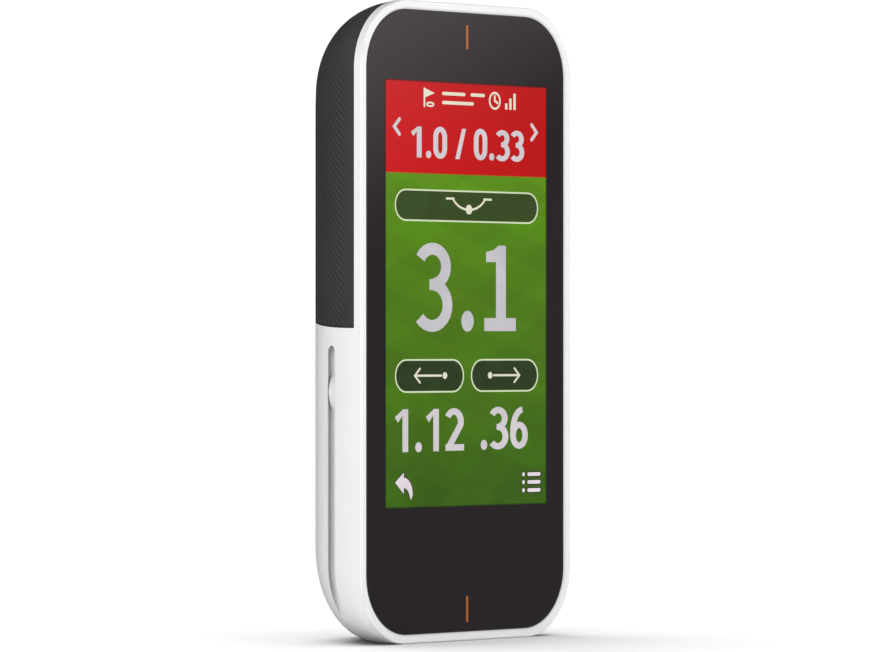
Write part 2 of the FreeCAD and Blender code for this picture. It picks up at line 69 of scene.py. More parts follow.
# ---------------------------------------------------------------- the case's outline
FLANK = 2.3             # depth of the straight flank behind the rim
BULGE = 25.3            # depth of the quarter ellipse that the back follows
TOP_SPAN = 27.5         # depth of the curve that the top falls along
TOP_FALL = 42.0
TOP_RADIUS = 13.5       # corner radius of the outline at the front
RADIUS_LOSS = 10.6      # how much smaller it is at the back
LEAST_FLAT = 0.6        # least that is left between a top corner and the middle
EDGE_RADIUS = 0.15      # rounding of the cover's edges
EDGE_STEPS = (0.0, 0.02, 0.06, EDGE_RADIUS)      # distances from an edge where its rounding is cut

COVER_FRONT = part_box("rear_cover")[0].y / MM - FRONT
SEAM_FRONT = (1.9, 60.8)      # depth and height of three points on the seam below the cover
SEAM_MIDDLE = (14.0, 61.42)
SEAM_BACK = (30.0, 64.3)
SEAM_CLIMB = 0.00425          # the seam climbs by about this times its depth squared
COVER_WALL = 1.2

# ---------------------------------------------------------------- the slanted ridges on the cover
RIDGE_RISE = 1.34       # from one ridge to the next, straight up
RIDGE_SLOPE = 0.869     # how far a ridge climbs for each millimetre round the case
RIDGE_HEIGHT = 0.135
RIDGE_SAMPLES = 8       # points across one ridge
ROW_STEP = 0.9          # distance between rows round the case
SMOOTH_BAND = (4.3, 5.3)      # depth where the ridges begin to rise and where they are whole
TOP_FADE = (2.0, 0.3)   # distances below the top corners where they begin to die away and are gone
LEAST_STEP = 0.03       # no two points of a column stand closer than this

# ---------------------------------------------------------------- the screen
SCREEN_HALF = 23.95
SCREEN_BOTTOM = 26.1
BAND_BOTTOM = 90.7      # the red band reaches from here to the top
SCREEN_TOP = 108.65
GLASS_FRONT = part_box("cover_glass")[0].y / MM - FRONT
PRINT_STEP = 0.03       # how far each printed layer stands before the one behind it
SCREEN_DEPTH = GLASS_FRONT - PRINT_STEP
MARK_DEPTH = SCREEN_DEPTH - PRINT_STEP
SCREEN_GLOSS = 0.2      # the lit screen hides most of what the glass would mirror
PILLS = ((-21.2, 21.3, 81.45, 87.65), (-21.15, -0.98, 48.35, 54.85), (1.08, 21.3, 48.4, 54.85))
PILL_LINE = 0.32        # width of the pale line round each pill
THIN_LINE = 0.42        # width of the lines in the small signs

# ---------------------------------------------------------------- painted shade in narrow places
HOLLOW_REACH = 2.4      # a hollow in the white case gets painted shade if it is no wider than this
GAP_REACH = 0.5         # the same for the gaps between the case and its neighbours
EDGE_SHADE = (0.15, 0.42)     # distances from the cover's edges where their painted shade line fades and ends
EDGE_DARK = 0.85        # how dark that painted shade is

# ---------------------------------------------------------------- the power button
BUTTON_LOW, BUTTON_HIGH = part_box("power_button")
BUTTON_DEPTH = (BUTTON_LOW.y + BUTTON_HIGH.y) / 2 / MM - FRONT
BUTTON_HEIGHT = (BUTTON_LOW.z + BUTTON_HIGH.z) / 2 / MM
BUTTON_HOLE = (12.4, 4.4)     # length and width of the hole that it moves in
CAP_RISE = 0.45         # how far its cap stands off the case's outline
SIGN_LINE = 0.3         # width of the lines of the sign on it
SIGN_RISE = 0.04        # how far the sign stands off the cap


def place(x, depth, z):
    """This place in the frame, in metres."""
    return Vector((x, FRONT + depth, z)) * MM


def linear(red, green, blue):
    """The linear colour of an 8-bit display colour."""
    channels = [c / 255 for c in (red, green, blue)]
    return tuple(c / 12.92 if c < 0.04045 else ((c + 0.055) / 1.055) ** 2.4 for c in channels)


def smooth(low, high, value):
    """0 below low, 1 above high and a smooth rise between them."""
    t = min(1.0, max(0.0, (value - low) / (high - low)))
    return t * t * (3 - 2 * t)


# ================================================================ materials
class Tree:
    """A node tree, with helpers that add nodes."""

    def __init__(self, owner):
        owner.use_nodes = True
        self.nodes = owner.node_tree.nodes
        self.links = owner.node_tree.links

    def node(self, kind, inputs=(), **settings):
        """A new node with its settings, and its inputs linked or set."""
        new = self.nodes.new(kind)
        for key, value in settings.items():
            setattr(new, key, value)
        for key, value in dict(inputs).items():
            if isinstance(value, bpy.types.NodeSocket):
                self.links.new(value, new.inputs[key])
            else:
                new.inputs[key].default_value = value
        return new

    def math(self, operation, a, b=0.0):
        """One arithmetic step."""
        return self.node("ShaderNodeMath", {0: a, 1: b}, operation=operation).outputs[0]

    def along(self, here, way):
        """How far a point lies along a vector: their dot product."""
        return self.node("ShaderNodeVectorMath", {0: here, 1: way}, operation="DOT_PRODUCT").outputs["Value"]

    def ranged(self, value, low, high, start=0.0, end=1.0, **settings):
        """value, taken from start..end to low..high and kept within them."""
        inputs = {"Value": value, "From Min": start, "From Max": end, "To Min": low, "To Max": high}
        return self.node("ShaderNodeMapRange", inputs, **settings).outputs["Result"]

    def ramp(self, value, *stops):
        """The colour at value along stops of (place, linear colour)."""
        new = self.node("ShaderNodeValToRGB", {"Fac": value})
        marks = new.color_ramp.elements
        while len(marks) < len(stops):
            marks.new(0.5)
        for mark, (where, colour) in zip(marks, stops):
            mark.position = where
            mark.color = (*colour, 1)
        return new.outputs["Color"]

    def blend(self, share, first, second, mode="MIX"):
        """Two colours mixed, each a socket or a linear colour."""
        inputs = {0: share, 6: first, 7: second}
        for key in (6, 7):
            if isinstance(inputs[key], tuple):
                inputs[key] = (*inputs[key], 1)
        return self.node("ShaderNodeMix", inputs, data_type="RGBA", blend_type=mode).outputs[2]


class Finish(Tree):
    """A material. Its helpers add patterns in object space, with sizes in millimetres."""

    def __init__(self, name, **sockets):
        self.material = bpy.data.materials.new(name)
        super().__init__(self.material)
        self.shader = self.nodes["Principled BSDF"]
        for socket, value in sockets.items():
            self.shader.inputs[socket.replace("_", " ")].default_value = value

    def position(self, stretch=(1, 1, 1)):
        """Object coordinates in millimetres, each axis divided by its stretch."""
        here = self.node("ShaderNodeTexCoord").outputs["Object"]
        scale = [1 / (MM * s) for s in stretch]
        return self.node("ShaderNodeMapping", {"Vector": here, "Scale": scale}).outputs["Vector"]

    def noise(self, size, detail=3.0, stretch=(1, 1, 1), distortion=0.0):
        """Soft noise from 0 to 1 with features of this size."""
        inputs = {
            "Vector": self.position(stretch),
            "Scale": 1 / size,
            "Detail": detail,
            "Distortion": distortion,
        }
        return self.node("ShaderNodeTexNoise", inputs).outputs["Fac"]

    def cell_edges(self, size):
        """Distance to the nearest edge between cells of this size."""
        inputs = {"Vector": self.position(), "Scale": 1 / size}
        voronoi = self.node("ShaderNodeTexVoronoi", inputs, feature="DISTANCE_TO_EDGE")
        return voronoi.outputs["Distance"]

    def openness(self, reach, own_piece_only):
        """1 in the open, and less where a surface stands closer than reach."""
        settings = {"only_local": own_piece_only, "samples": 8}
        return self.node("ShaderNodeAmbientOcclusion", {"Distance": reach * MM}, **settings).outputs["AO"]

    def feed(self, socket, value):
        """Links value to a socket of the shader."""
        self.links.new(value, self.shader.inputs[socket])
        return self

    def bump(self, *layers):
        """Surface relief from layers of (height socket, height in millimetres)."""
        normal = None
        for height, size in layers:
            inputs = {"Height": height, "Distance": size * MM, "Strength": 1.0}
            if normal:
                inputs["Normal"] = normal
            normal = self.node("ShaderNodeBump", inputs).outputs["Normal"]
        return self.feed("Normal", normal)


def moulded(name, colour, rough, grain, relief, tint=0.06, **sockets):
    """Moulded plastic or rubber: fine spark-eroded grain, faint uneven tone and gloss."""
    finish = Finish(name, **sockets)
    dark = tuple(c * (1 - tint) for c in colour)
    light = tuple(min(1.0, c * (1 + tint)) for c in colour)
    clouds = finish.noise(9.0, 2.0)
    fine = finish.noise(grain, 4.0)
    finish.feed("Base Color", finish.ramp(clouds, (0.3, dark), (0.7, light)))
    finish.feed("Roughness", finish.ranged(fine, rough - 0.05, rough + 0.05, 0.3, 0.7))
    return finish.bump((fine, relief), (clouds, relief))


def white_case():
    """Satin white moulding with a soft sheen, and painted shade that greys its grooves, corners and the gaps
    to its neighbours.
    """
    finish = moulded("white_case", (0.852, 0.848, 0.844), 0.34, 0.22, 0.0022, tint=0.012,
                     Coat_Weight=0.25, Coat_Roughness=0.22, IOR=1.47)
    clean = finish.shader.inputs["Base Color"].links[0].from_socket
    white = (1.0, 1.0, 1.0)
    # painted shade: greyer where the case's own surfaces close in, as in the groove
    painted_hollow_shade = finish.ramp(finish.openness(HOLLOW_REACH, True), (0.60, (0.35, 0.35, 0.355)),
                         (0.82, (0.66, 0.66, 0.665)), (0.97, white))
    # painted shade along narrow gaps between the case and other pieces
    painted_gap_shade = finish.ramp(finish.openness(GAP_REACH, False), (0.55, (0.42, 0.42, 0.42)), (0.95, white))
    shaded = finish.blend(1.0, clean, painted_hollow_shade, "MULTIPLY")
    finish.feed("Base Color", finish.blend(1.0, shaded, painted_gap_shade, "MULTIPLY"))
    return finish.material


def dark_cover():
    """Charcoal moulding: paler on the crests of its ridges, with painted shade in the valleys and along its
    edges.
    """
    finish = Finish("dark_cover", IOR=1.46)
    clouds = finish.noise(7.0, 3.0)
    fine = finish.noise(0.12, 4.0)
    ridge_curvature = finish.node("ShaderNodeNewGeometry").outputs["Pointiness"]
    base = finish.ramp(clouds, (0.3, (0.030, 0.029, 0.030)), (0.7, (0.037, 0.035, 0.036)))
    # paler on the ridges' crests
    base = finish.blend(finish.ranged(ridge_curvature, 0.0, 0.5, 0.5, 0.56), base, (0.060, 0.057, 0.058))
    # painted shade in the ridges' valleys
    base = finish.blend(finish.ranged(ridge_curvature, 0.55, 0.0, 0.44, 0.5), base, (0.012, 0.012, 0.012))
    # painted shade along the cover's front edge and along the seam below it
    axes = finish.node("ShaderNodeSeparateXYZ", {"Vector": finish.position()})
    behind = finish.math("SUBTRACT", axes.outputs["Y"], FRONT + SEAM_FRONT[0])
    climb = finish.math("MULTIPLY", finish.math("MULTIPLY", behind, behind), SEAM_CLIMB)
    above = finish.math("SUBTRACT", finish.math("SUBTRACT", axes.outputs["Z"], climb), SEAM_FRONT[1])
    edge = finish.math("MAXIMUM", finish.ranged(behind, EDGE_DARK, 0.0, *EDGE_SHADE),
                       finish.ranged(above, EDGE_DARK, 0.0, *EDGE_SHADE))
    finish.feed("Base Color", finish.blend(edge, base, (0.004, 0.004, 0.004)))
    finish.feed("Roughness", finish.ranged(fine, 0.42, 0.56, 0.3, 0.7))
    finish.bump((fine, 0.004), (clouds, 0.003))
    return finish.material


def cover_glass():
    """Polished glass over a black printed border, with a faint film of fingerprints."""
    finish = Finish("cover_glass", IOR=1.52)
    smear = finish.noise(11.0, 4.0, (1, 1, 1.8), 0.6)
    finish.feed("Base Color", finish.ramp(smear, (0.3, linear(14, 11, 12)), (0.7, linear(18, 14, 16))))
    finish.feed("Roughness", finish.ranged(smear, 0.03, 0.09, 0.35, 0.75))
    finish.bump((finish.noise(14.0, 2.0), 0.0008))
    return finish.material


def screen_ground(finish, x, z):
    """The green below the red band: paler towards the top, with hills, blotches and mown stripes."""
    up = finish.ranged(z, 0.0, 1.0, SCREEN_BOTTOM, BAND_BOTTOM)
    green = finish.ramp(up, (0.0, linear(50, 86, 8)), (0.22, linear(62, 100, 8)),
                        (0.6, linear(80, 122, 10)), (1.0, linear(95, 148, 12)))
    drift = finish.math("MULTIPLY", finish.noise(26.0, 2.0), 9.0)
    # the crests of a low hill, and of a fainter one behind it, climb to the right
    crest = finish.math("ADD", finish.math("MULTIPLY", x, 0.30), drift)
    over = finish.math("SUBTRACT", z, crest)
    green = finish.blend(finish.ranged(over, 0.42, 0.0, 33.0, 37.0), green, linear(40, 76, 8))
    fall = finish.math("SUBTRACT", finish.math("MULTIPLY", x, -0.22), finish.math("MULTIPLY", drift, 1.4))
    over = finish.math("ADD", z, fall)
    green = finish.blend(finish.ranged(over, 0.22, 0.0, 66.0, 74.0), green, linear(68, 112, 8))
    blotch = finish.ranged(finish.noise(8.0, 3.0, (1.7, 1, 1)), 0.0, 0.5, 0.35, 0.75)
    green = finish.blend(blotch, green, linear(72, 134, 6))
    # two sets of stripes cross at a slant
    for slope, width, share in ((0.30, 5.6, 0.13), (-0.45, 7.5, 0.11)):
        slant = finish.math("ADD", finish.math("MULTIPLY", x, slope), z)
        wave = finish.math("SINE", finish.math("MULTIPLY", slant, math.pi / width))
        green = finish.blend(finish.ranged(wave, 0.0, share, -0.3, 0.3), green, linear(44, 72, 4))
    return green


def screen_fade(finish, x, z, border=0.45):
    """1 on the picture and 0 at its edges, which it fades to over this border."""
    fade = None
    for value, low, high in ((x, -SCREEN_HALF, SCREEN_HALF), (z, SCREEN_BOTTOM, SCREEN_TOP)):
        for start, end in ((low, low + border), (high, high - border)):
            side = finish.ranged(value, 0.0, 1.0, start, end)
            fade = side if fade is None else finish.math("MULTIPLY", fade, side)
    return fade


def screen_image():
    """The lit screen: a red band over rolling green, seen through the glass."""
    finish = Finish("screen_image", IOR=1.52, Specular_IOR_Level=SCREEN_GLOSS, Emission_Strength=1.0)
    axes = finish.node("ShaderNodeSeparateXYZ", {"Vector": finish.position()})
    x, z = axes.outputs["X"], axes.outputs["Z"]
    across = finish.ranged(x, 0.0, 1.0, -SCREEN_HALF, SCREEN_HALF)
    red = finish.ramp(across, (0.0, linear(200, 4, 12)), (0.5, linear(192, 2, 4)), (1.0, linear(184, 2, 2)))
    soft = 0.12
    in_band = finish.ranged(z, 0.0, 1.0, BAND_BOTTOM - soft, BAND_BOTTOM + soft)
    image = finish.blend(in_band, screen_ground(finish, x, z), red)
    black = (0.004, 0.003, 0.003)
    finish.feed("Emission Color", finish.blend(screen_fade(finish, x, z), black, image))
    finish.shader.inputs["Base Color"].default_value = (*black, 1)
    finish.feed("Roughness", finish.ranged(finish.noise(11.0, 4.0), 0.03, 0.09, 0.35, 0.75))
    return finish.material


def lit_ink(name, colour):
    """A lit mark on the screen, with the faint unevenness of its backlight."""
    finish = Finish(name, IOR=1.52, Roughness=0.06, Specular_IOR_Level=SCREEN_GLOSS, Emission_Strength=1.0)
    glow = finish.noise(5.0, 2.0)
    spread = 0.05
    low = tuple(c * (1 - spread) for c in colour)
    high = tuple(c * (1 + spread) for c in colour)
    finish.feed("Emission Color", finish.ramp(glow, (0.3, low), (0.7, high)))
    finish.feed("Base Color", finish.ramp(glow, (0.3, (0.010, 0.010, 0.010)), (0.7, (0.014, 0.014, 0.014))))
    return finish.material


def orange_ink():
    """Printed orange aiming marks under the glass."""
    finish = Finish("orange_ink", IOR=1.5)
    grain = finish.noise(0.25, 3.0)
    finish.feed("Base Color", finish.ramp(grain, (0.3, linear(176, 90, 18)), (0.7, linear(192, 102, 26))))
    finish.feed("Roughness", finish.ranged(grain, 0.12, 0.25, 0.3, 0.7))
    return finish.material


def metal(name, colour, rough, stretch=(1, 1, 1), grain=0.3, relief=0.004):
    """Bare or plated metal with brushed or cast relief."""
    finish = Finish(name, Metallic=1.0)
    lines = finish.noise(grain, 4.0, stretch)
    dark = tuple(c * 0.82 for c in colour)
    finish.feed("Base Color", finish.ramp(lines, (0.3, dark), (0.7, colour)))
    finish.feed("Roughness", finish.ranged(lines, rough - 0.08, rough + 0.08, 0.3, 0.7))
    finish.bump((lines, relief))
    return finish.material


def laminate(name, mask, copper):
    """A circuit board: solder mask over glass weave, with the copper's traces showing through."""
    finish = Finish(name, IOR=1.5)
    line = finish.ranged(finish.cell_edges(2.2), 1.0, 0.0, 0.03, 0.08)
    cloth = finish.noise(1.1, 2.0, (1, 1, 0.4))
    finish.feed("Base Color", finish.blend(line, mask, copper))
    finish.feed("Roughness", finish.ranged(cloth, 0.28, 0.42, 0.3, 0.7))
    finish.bump((line, 0.02), (cloth, 0.004))
    return finish.material


def film(name, colour, rough=0.2):
    """Clear or tinted film."""
    finish = Finish(name, IOR=1.5, Coat_Weight=0.5, Coat_Roughness=0.1)
    waves = finish.noise(6.0, 2.0)
    dark = tuple(c * 0.9 for c in colour)
    finish.feed("Base Color", finish.ramp(waves, (0.3, dark), (0.7, colour)))
    finish.feed("Roughness", finish.ranged(waves, rough - 0.05, rough + 0.08, 0.3, 0.7))
    finish.bump((waves, 0.01))
    return finish.material


def make_finishes():
    """The material of every slot, by the slot's name."""
    green_mask = (0.008, 0.075, 0.028)
    return {
        "white_case": white_case(),
        "dark_cover": dark_cover(),
        "cover_glass": cover_glass(),
        "orange_ink": orange_ink(),
        "touch_film": film("touch_film", (0.10, 0.11, 0.12)),
        "lcd": film("lcd", (0.05, 0.06, 0.06)),
        "backlight": film("backlight", (0.82, 0.82, 0.84), 0.35),
        "black_rubber": moulded("black_rubber", (0.022, 0.022, 0.023), 0.62, 0.25, 0.010).material,
        "button_plastic": moulded("button_plastic", (0.033, 0.032, 0.033), 0.48, 0.16, 0.006).material,
        "adhesive": moulded("adhesive", (0.06, 0.06, 0.06), 0.7, 0.3, 0.03).material,
        "steel": metal("steel", (0.62, 0.62, 0.64), 0.32, (12, 1, 1), 0.12),
        "magnesium": metal("magnesium", (0.46, 0.47, 0.48), 0.5, grain=0.35, relief=0.012),
        "circuit_board": laminate("circuit_board", green_mask, (0.020, 0.15, 0.055)),
        "radar_laminate": laminate("radar_laminate", (0.34, 0.30, 0.13), (0.42, 0.36, 0.17)),
        "chip": moulded("chip", (0.018, 0.018, 0.019), 0.5, 0.14, 0.006).material,
        "polyimide": film("polyimide", (0.50, 0.22, 0.04), 0.25),
        "ceramic": moulded("ceramic", (0.62, 0.58, 0.50), 0.4, 0.3, 0.004).material,
        "plating": metal("plating", (0.90, 0.68, 0.32), 0.25, grain=0.2, relief=0.002),
        "brass": metal("brass", (0.78, 0.58, 0.26), 0.35, (1, 1, 8), 0.15),
        "pouch": metal("pouch", (0.55, 0.55, 0.57), 0.42, grain=1.2, relief=0.02),
        "red_wire": moulded("red_wire", (0.42, 0.014, 0.012), 0.45, 0.3, 0.004).material,
        "socket_plastic": moulded("socket_plastic", (0.72, 0.69, 0.62), 0.42, 0.2, 0.004).material,
    }


# ================================================================ meshes
def add_piece(name, mesh, material, body, replaced=()):
    """Puts a mesh in the scene as a named piece of the object."""
    piece = bpy.data.objects.new(name, mesh)
    bpy.context.scene.collection.objects.link(piece)
    mesh.materials.clear()
    mesh.materials.append(material)
    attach(piece, body)
    if replaced:
        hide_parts(*replaced)


def closed_mesh(name, front, back, faces):
    """A closed mesh: faces between the front points, the same ones behind them, and walls at their edges."""
    count = len(front)
    open_edges = {}
    for corners in faces:
        for i, corner in enumerate(corners):
            edge = (corners[i - 1], corner)
            if edge[::-1] in open_edges:
                del open_edges[edge[::-1]]
            else:
                open_edges[edge] = True
    behind = [[c + count for c in reversed(corners)] for corners in faces]
    walls = [[b, a, a + count, b + count] for a, b in open_edges]
    mesh = bpy.data.meshes.new(name)
    mesh.from_pydata(front + back, [], faces + behind + walls)
    mesh.validate()
    return mesh


def dip(share):
    """How far a quarter circle of radius 1 has fallen at this share of its width."""
    return 1 - math.sqrt(1 - share * share)


def half_width(depth):
    """Half the case's width at this depth."""
    share = max(0.0, depth - FLANK) / BULGE
    return HALF_WIDTH * math.sqrt(1 - share * share)


def top_height(depth):
    """Height of the case's top at this depth."""
    return HEIGHT - TOP_FALL * (dip(depth / TOP_SPAN) - dip(FLANK / TOP_SPAN))


def corner_radius(depth):
    """Radius of the outline's upper corners at this depth."""
    share = max(0.0, depth - FLANK) / BULGE
    return min(TOP_RADIUS - RADIUS_LOSS * share, half_width(depth) - LEAST_FLAT)


def seam_height():
    """The seam's height as a function of depth: an arc through three points."""
    (a, p), (b, q), (c, r) = SEAM_FRONT, SEAM_MIDDLE, SEAM_BACK
    turn = 2 * (a * (q - r) + b * (r - p) + c * (p - q))
    squares = [u * u + v * v for u, v in (SEAM_FRONT, SEAM_MIDDLE, SEAM_BACK)]
    centre_d = (squares[0] * (q - r) + squares[1] * (r - p) + squares[2] * (p - q)) / turn
    centre_z = (squares[0] * (c - b) + squares[1] * (a - c) + squares[2] * (b - a)) / turn
    radius = math.hypot(a - centre_d, p - centre_z)
    return lambda depth: centre_z - math.sqrt(radius ** 2 - (depth - centre_d) ** 2)


def flank_rows():
    """(depth, distance round the case from its front edge) for the rows on one side."""
    rows = [(COVER_FRONT + step, step) for step in EDGE_STEPS]
    rows.append((FLANK, FLANK - COVER_FRONT))
    last_angle = math.asin((DEPTH - FLANK) / BULGE)
    fine = 2000
    along, since = rows[-1][1], 0.0
    previous = (HALF_WIDTH, FLANK)
    for i in range(1, fine + 1):
        angle = last_angle * i / fine
        here = (HALF_WIDTH * math.cos(angle), FLANK + BULGE * math.sin(angle))
        step = math.dist(previous, here)
        along, since, previous = along + step, since + step, here
        if since >= ROW_STEP or i == fine:
            rows.append((here[1], along))
            since = 0.0
    return rows


def dome_row(depth, arc_steps=12, flat_steps=16):
    """Points (x, z) over the top at one depth, from the left wall to the right."""
    half, top, radius = half_width(depth), top_height(depth), corner_radius(depth)
    inner = half - radius
    left = []
    for i in range(arc_steps + 1):
        angle = math.pi / 2 * i / arc_steps
        left.append((-inner - radius * math.cos(angle), top - radius + radius * math.sin(angle)))
    flat = [(-inner + 2 * inner * i / flat_steps, top) for i in range(1, flat_steps)]
    right = [(-x, z) for x, z in reversed(left)]
    return left + flat + right


class Skin:
    """Vertices and faces of one surface, with how far each vertex stands off it."""

    def __init__(self):
        self.points, self.faces, self.relief = [], [], []

    def add(self, x, depth, z, relief):
        """A vertex; returns its number."""
        self.points.append(place(x, depth, z))
        self.relief.append(relief)
        return len(self.points) - 1

    def face(self, *corners):
        """A face, unless so many of its corners are the same vertex that none is left."""
        kept = [c for i, c in enumerate(corners) if c != corners[i - 1]]
        if len(set(kept)) > 2:
            self.faces.append(kept)

    def join(self, rows):
        """Faces between each row of vertices and the next."""
        for near, far in zip(rows, rows[1:]):
            for k in range(len(near) - 1):
                self.face(near[k], near[k + 1], far[k + 1], far[k])

    def thickened(self, name, wall):
        """A closed mesh: this surface with its relief, and a plain one behind it."""
        base = bpy.data.meshes.new(name + "_base")
        base.from_pydata(self.points, [], self.faces)
        base.update()
        normals = [v.normal.copy() for v in base.vertices]
        bpy.data.meshes.remove(base)
        outer = [p + n * r * MM for p, n, r in zip(self.points, normals, self.relief)]
        inner = [p - n * wall * MM for p, n in zip(self.points, normals)]
        return closed_mesh(name, outer, inner, self.faces)


def rounding(distance):
    """How far an edge's rounding has dropped at this distance from the edge."""
    if distance >= EDGE_RADIUS:
        return 0.0
    return EDGE_RADIUS - math.sqrt(EDGE_RADIUS ** 2 - (EDGE_RADIUS - distance) ** 2)


def pill_distance(depth, z):
    """Distance outside the button hole's outline, as seen from the side."""
    length, width = BUTTON_HOLE
    beyond = max(0.0, abs(z - BUTTON_HEIGHT) - (length - width) / 2)
    return math.hypot(beyond, depth - BUTTON_DEPTH) - width / 2


def near_button(depth, z):
    """0 beside the button and 1 a little way off, where the ridges start again."""
    return smooth(0.5, 1.5, pill_distance(depth, z))


def cover_skin():
    """The dark cover's outside: ridged walls, a smooth crown and a rounded edge all round."""
    skin = Skin()
    seam = seam_height()
    flank = flank_rows()
    back = dome_row(DEPTH)[1:-1]
    stations = [(-half_width(d), d, s) for d, s in flank]
    reach = flank[-1][1] + half_width(DEPTH)
    stations += [(x, DEPTH, reach + x) for x, z in back]
    stations += [(half_width(d), d, 2 * reach - s) for d, s in reversed(flank)]

    def top_of(index):
        if len(flank) <= index < len(stations) - len(flank):
            return back[index - len(flank)][1]
        depth = stations[index][1]
        return top_height(depth) - corner_radius(depth)

    def relief(x, depth, along, z, low, high):
        wave = 0.5 + 0.5 * math.cos(math.tau * (z - RIDGE_SLOPE * along) / RIDGE_RISE)
        share = smooth(*SMOOTH_BAND, depth) * (1 - smooth(high - TOP_FADE[0], high - TOP_FADE[1], z))
        if x > 0:
            share *= near_button(depth, z)
        drop = max(rounding(z - low), rounding(depth - COVER_FRONT))
        return -RIDGE_HEIGHT * (share * (1 - wave) + 0.5 * (1 - share)) - drop

    rise = RIDGE_RISE / RIDGE_SAMPLES
    first = math.floor((seam(COVER_FRONT) - RIDGE_SLOPE * stations[-1][2]) / rise)
    last = math.ceil(HEIGHT / rise)
    columns, tops = [], []
    for index, (x, depth, along) in enumerate(stations):
        low, high = seam(depth), top_of(index)
        start = low + EDGE_RADIUS
        feet = [low + step for step in EDGE_STEPS]
        column = [skin.add(x, depth, z, relief(x, depth, along, z, low, high)) for z in feet]
        crown = skin.add(x, depth, high, relief(x, depth, along, high, low, high))
        for k in range(first, last):
            z = k * rise + RIDGE_SLOPE * along
            if z < start + LEAST_STEP:
                column.append(column[len(EDGE_STEPS) - 1])
            elif z > high - LEAST_STEP:
                column.append(crown)
            else:
                column.append(skin.add(x, depth, z, relief(x, depth, along, z, low, high)))
        columns.append(column)
        tops.append(crown)
    skin.join(columns)

    rows = []
    for index, (depth, along) in enumerate(flank[:-1]):
        drop = rounding(depth - COVER_FRONT)
        middle = [skin.add(x, depth, z, -RIDGE_HEIGHT / 2 - drop) for x, z in dome_row(depth)[1:-1]]
        rows.append([tops[index]] + middle + [tops[len(stations) - 1 - index]])
    rows.append(tops[len(flank) - 1:len(stations) - len(flank) + 1])
    skin.join(rows)
    return skin


def pill_outline(length, width, steps=12):
    """Points (u, v) of a pill that stands upright."""
    radius = width / 2
    straight = length / 2 - radius
    points = []
    for side, turn in ((1, 0.0), (-1, math.pi)):
        for i in range(steps + 1):
            angle = turn + math.pi * i / steps
            points.append((radius * math.cos(angle), side * straight + radius * math.sin(angle)))
    return points


def make_cover(finishes):
    """The ridged cover, with the hole for the power button cut through it."""
    whole = cover_skin().thickened("whole_cover", COVER_WALL)
    cover = bpy.data.objects.new("whole_cover", whole)
    bpy.context.scene.collection.objects.link(cover)
    outline = [(BUTTON_DEPTH + u, BUTTON_HEIGHT + v) for u, v in pill_outline(*BUTTON_HOLE)]
    outside, inside = ([place(x, d, z) for d, z in outline] for x in (HALF_WIDTH + 5, HALF_WIDTH / 2))
    prism = closed_mesh("cutter", outside, inside, [list(range(len(outline)))])
    cutter = bpy.data.objects.new("cutter", prism)
    bpy.context.scene.collection.objects.link(cutter)
    cut = cover.modifiers.new("hole", "BOOLEAN")
    cut.operation = "DIFFERENCE"
    cut.solver = "EXACT"
    cut.object = cutter
    view = bpy.context.evaluated_depsgraph_get()
    mesh = bpy.data.meshes.new_from_object(cover.evaluated_get(view))
    for helper in (cover, cutter):
        bpy.data.objects.remove(helper)
    mesh.name = "ridged_cover"
    mesh.shade_smooth()
    mesh.set_sharp_from_angle(angle=math.radians(40))
    add_piece("ridged_cover", mesh, finishes["dark_cover"], "case", ["rear_cover"])


# ================================================================ marks on the screen
def arc(centre, radii, start, end, steps=16):
    """Points along an ellipse's arc, its angles in degrees from the right, anticlockwise."""
    angles = [math.radians(start + (end - start) * i / steps) for i in range(steps + 1)]
    return [(centre[0] + radii[0] * math.cos(a), centre[1] + radii[1] * math.sin(a)) for a in angles]


def stroke(path, width, closed=False, round_ends=False):
    """Polygons that cover a line of this width along a path of points."""
    sharpest = 0.4      # keeps the points of sharp corners short
    points = [Vector(p) for p in path]
    count = len(points)
    lefts, rights = [], []
    for i, point in enumerate(points):
        before = points[i - 1] if closed or i else point
        after = points[(i + 1) % count] if closed or i < count - 1 else point
        into = (point - before).normalized() if before != point else (after - point).normalized()
        out = (after - point).normalized() if after != point else into
        way = (into + out).normalized()
        side = Vector((-way.y, way.x)) * (width / 2 / max(sharpest, way.dot(out)))
        lefts.append(point + side)
        rights.append(point - side)
    spans = range(count) if closed else range(count - 1)
    shapes = [[rights[i], rights[(i + 1) % count], lefts[(i + 1) % count], lefts[i]] for i in spans]
    if round_ends:
        shapes += [disc(points[i], (width / 2, width / 2)) for i in (0, count - 1)]
    return shapes


def disc(centre, radii, steps=24):
    """A filled ellipse."""
    return arc(centre, radii, 0, 360 * (1 - 1 / steps), steps - 1)


def capsule(x0, x1, z0, z1, steps=14):
    """A filled pill, its ends half round."""
    radius = (z1 - z0) / 2
    middle = (z0 + z1) / 2
    return (arc((x1 - radius, middle), (radius, radius), -90, 90, steps)
            + arc((x0 + radius, middle), (radius, radius), 90, 270, steps))


def rectangle(x0, x1, z0, z1):
    """A filled rectangle."""
    return [(x0, z0), (x1, z0), (x1, z1), (x0, z1)]


def number_one(x0, x1, z0, z1, width):
    """The numeral 1: a stem with a flag."""
    stem_left = x1 - width
    drop = (z1 - z0) * 0.16
    flag = [(x0, z1 - drop * 1.15), (x0 + width * 0.55, z1 - drop * 1.95),
            (stem_left + 0.1, z1 - drop * 0.85), (x1, z1), (stem_left + 0.15 * width, z1)]
    return [rectangle(stem_left, x1, z0, z1), flag]


def fitted(x0, x1, z0, z1, width):
    """A function from a unit box to the middle lines of strokes inside this box, and their spans."""
    inset = width / 2
    spans = (x1 - x0 - width, z1 - z0 - width)

    def to_box(u, v):
        return (x0 + inset + u * spans[0], z0 + inset + v * spans[1])

    return to_box, spans


def number_zero(x0, x1, z0, z1, width):
    """The numeral 0, a narrow oval with straight sides."""
    to_box, (across, tall) = fitted(x0, x1, z0, z1, width)
    top = arc(to_box(0.5, 0.70), (across / 2, tall * 0.30), 0, 180)
    bottom = arc(to_box(0.5, 0.30), (across / 2, tall * 0.30), 180, 360)
    return stroke(top + bottom, width, closed=True)


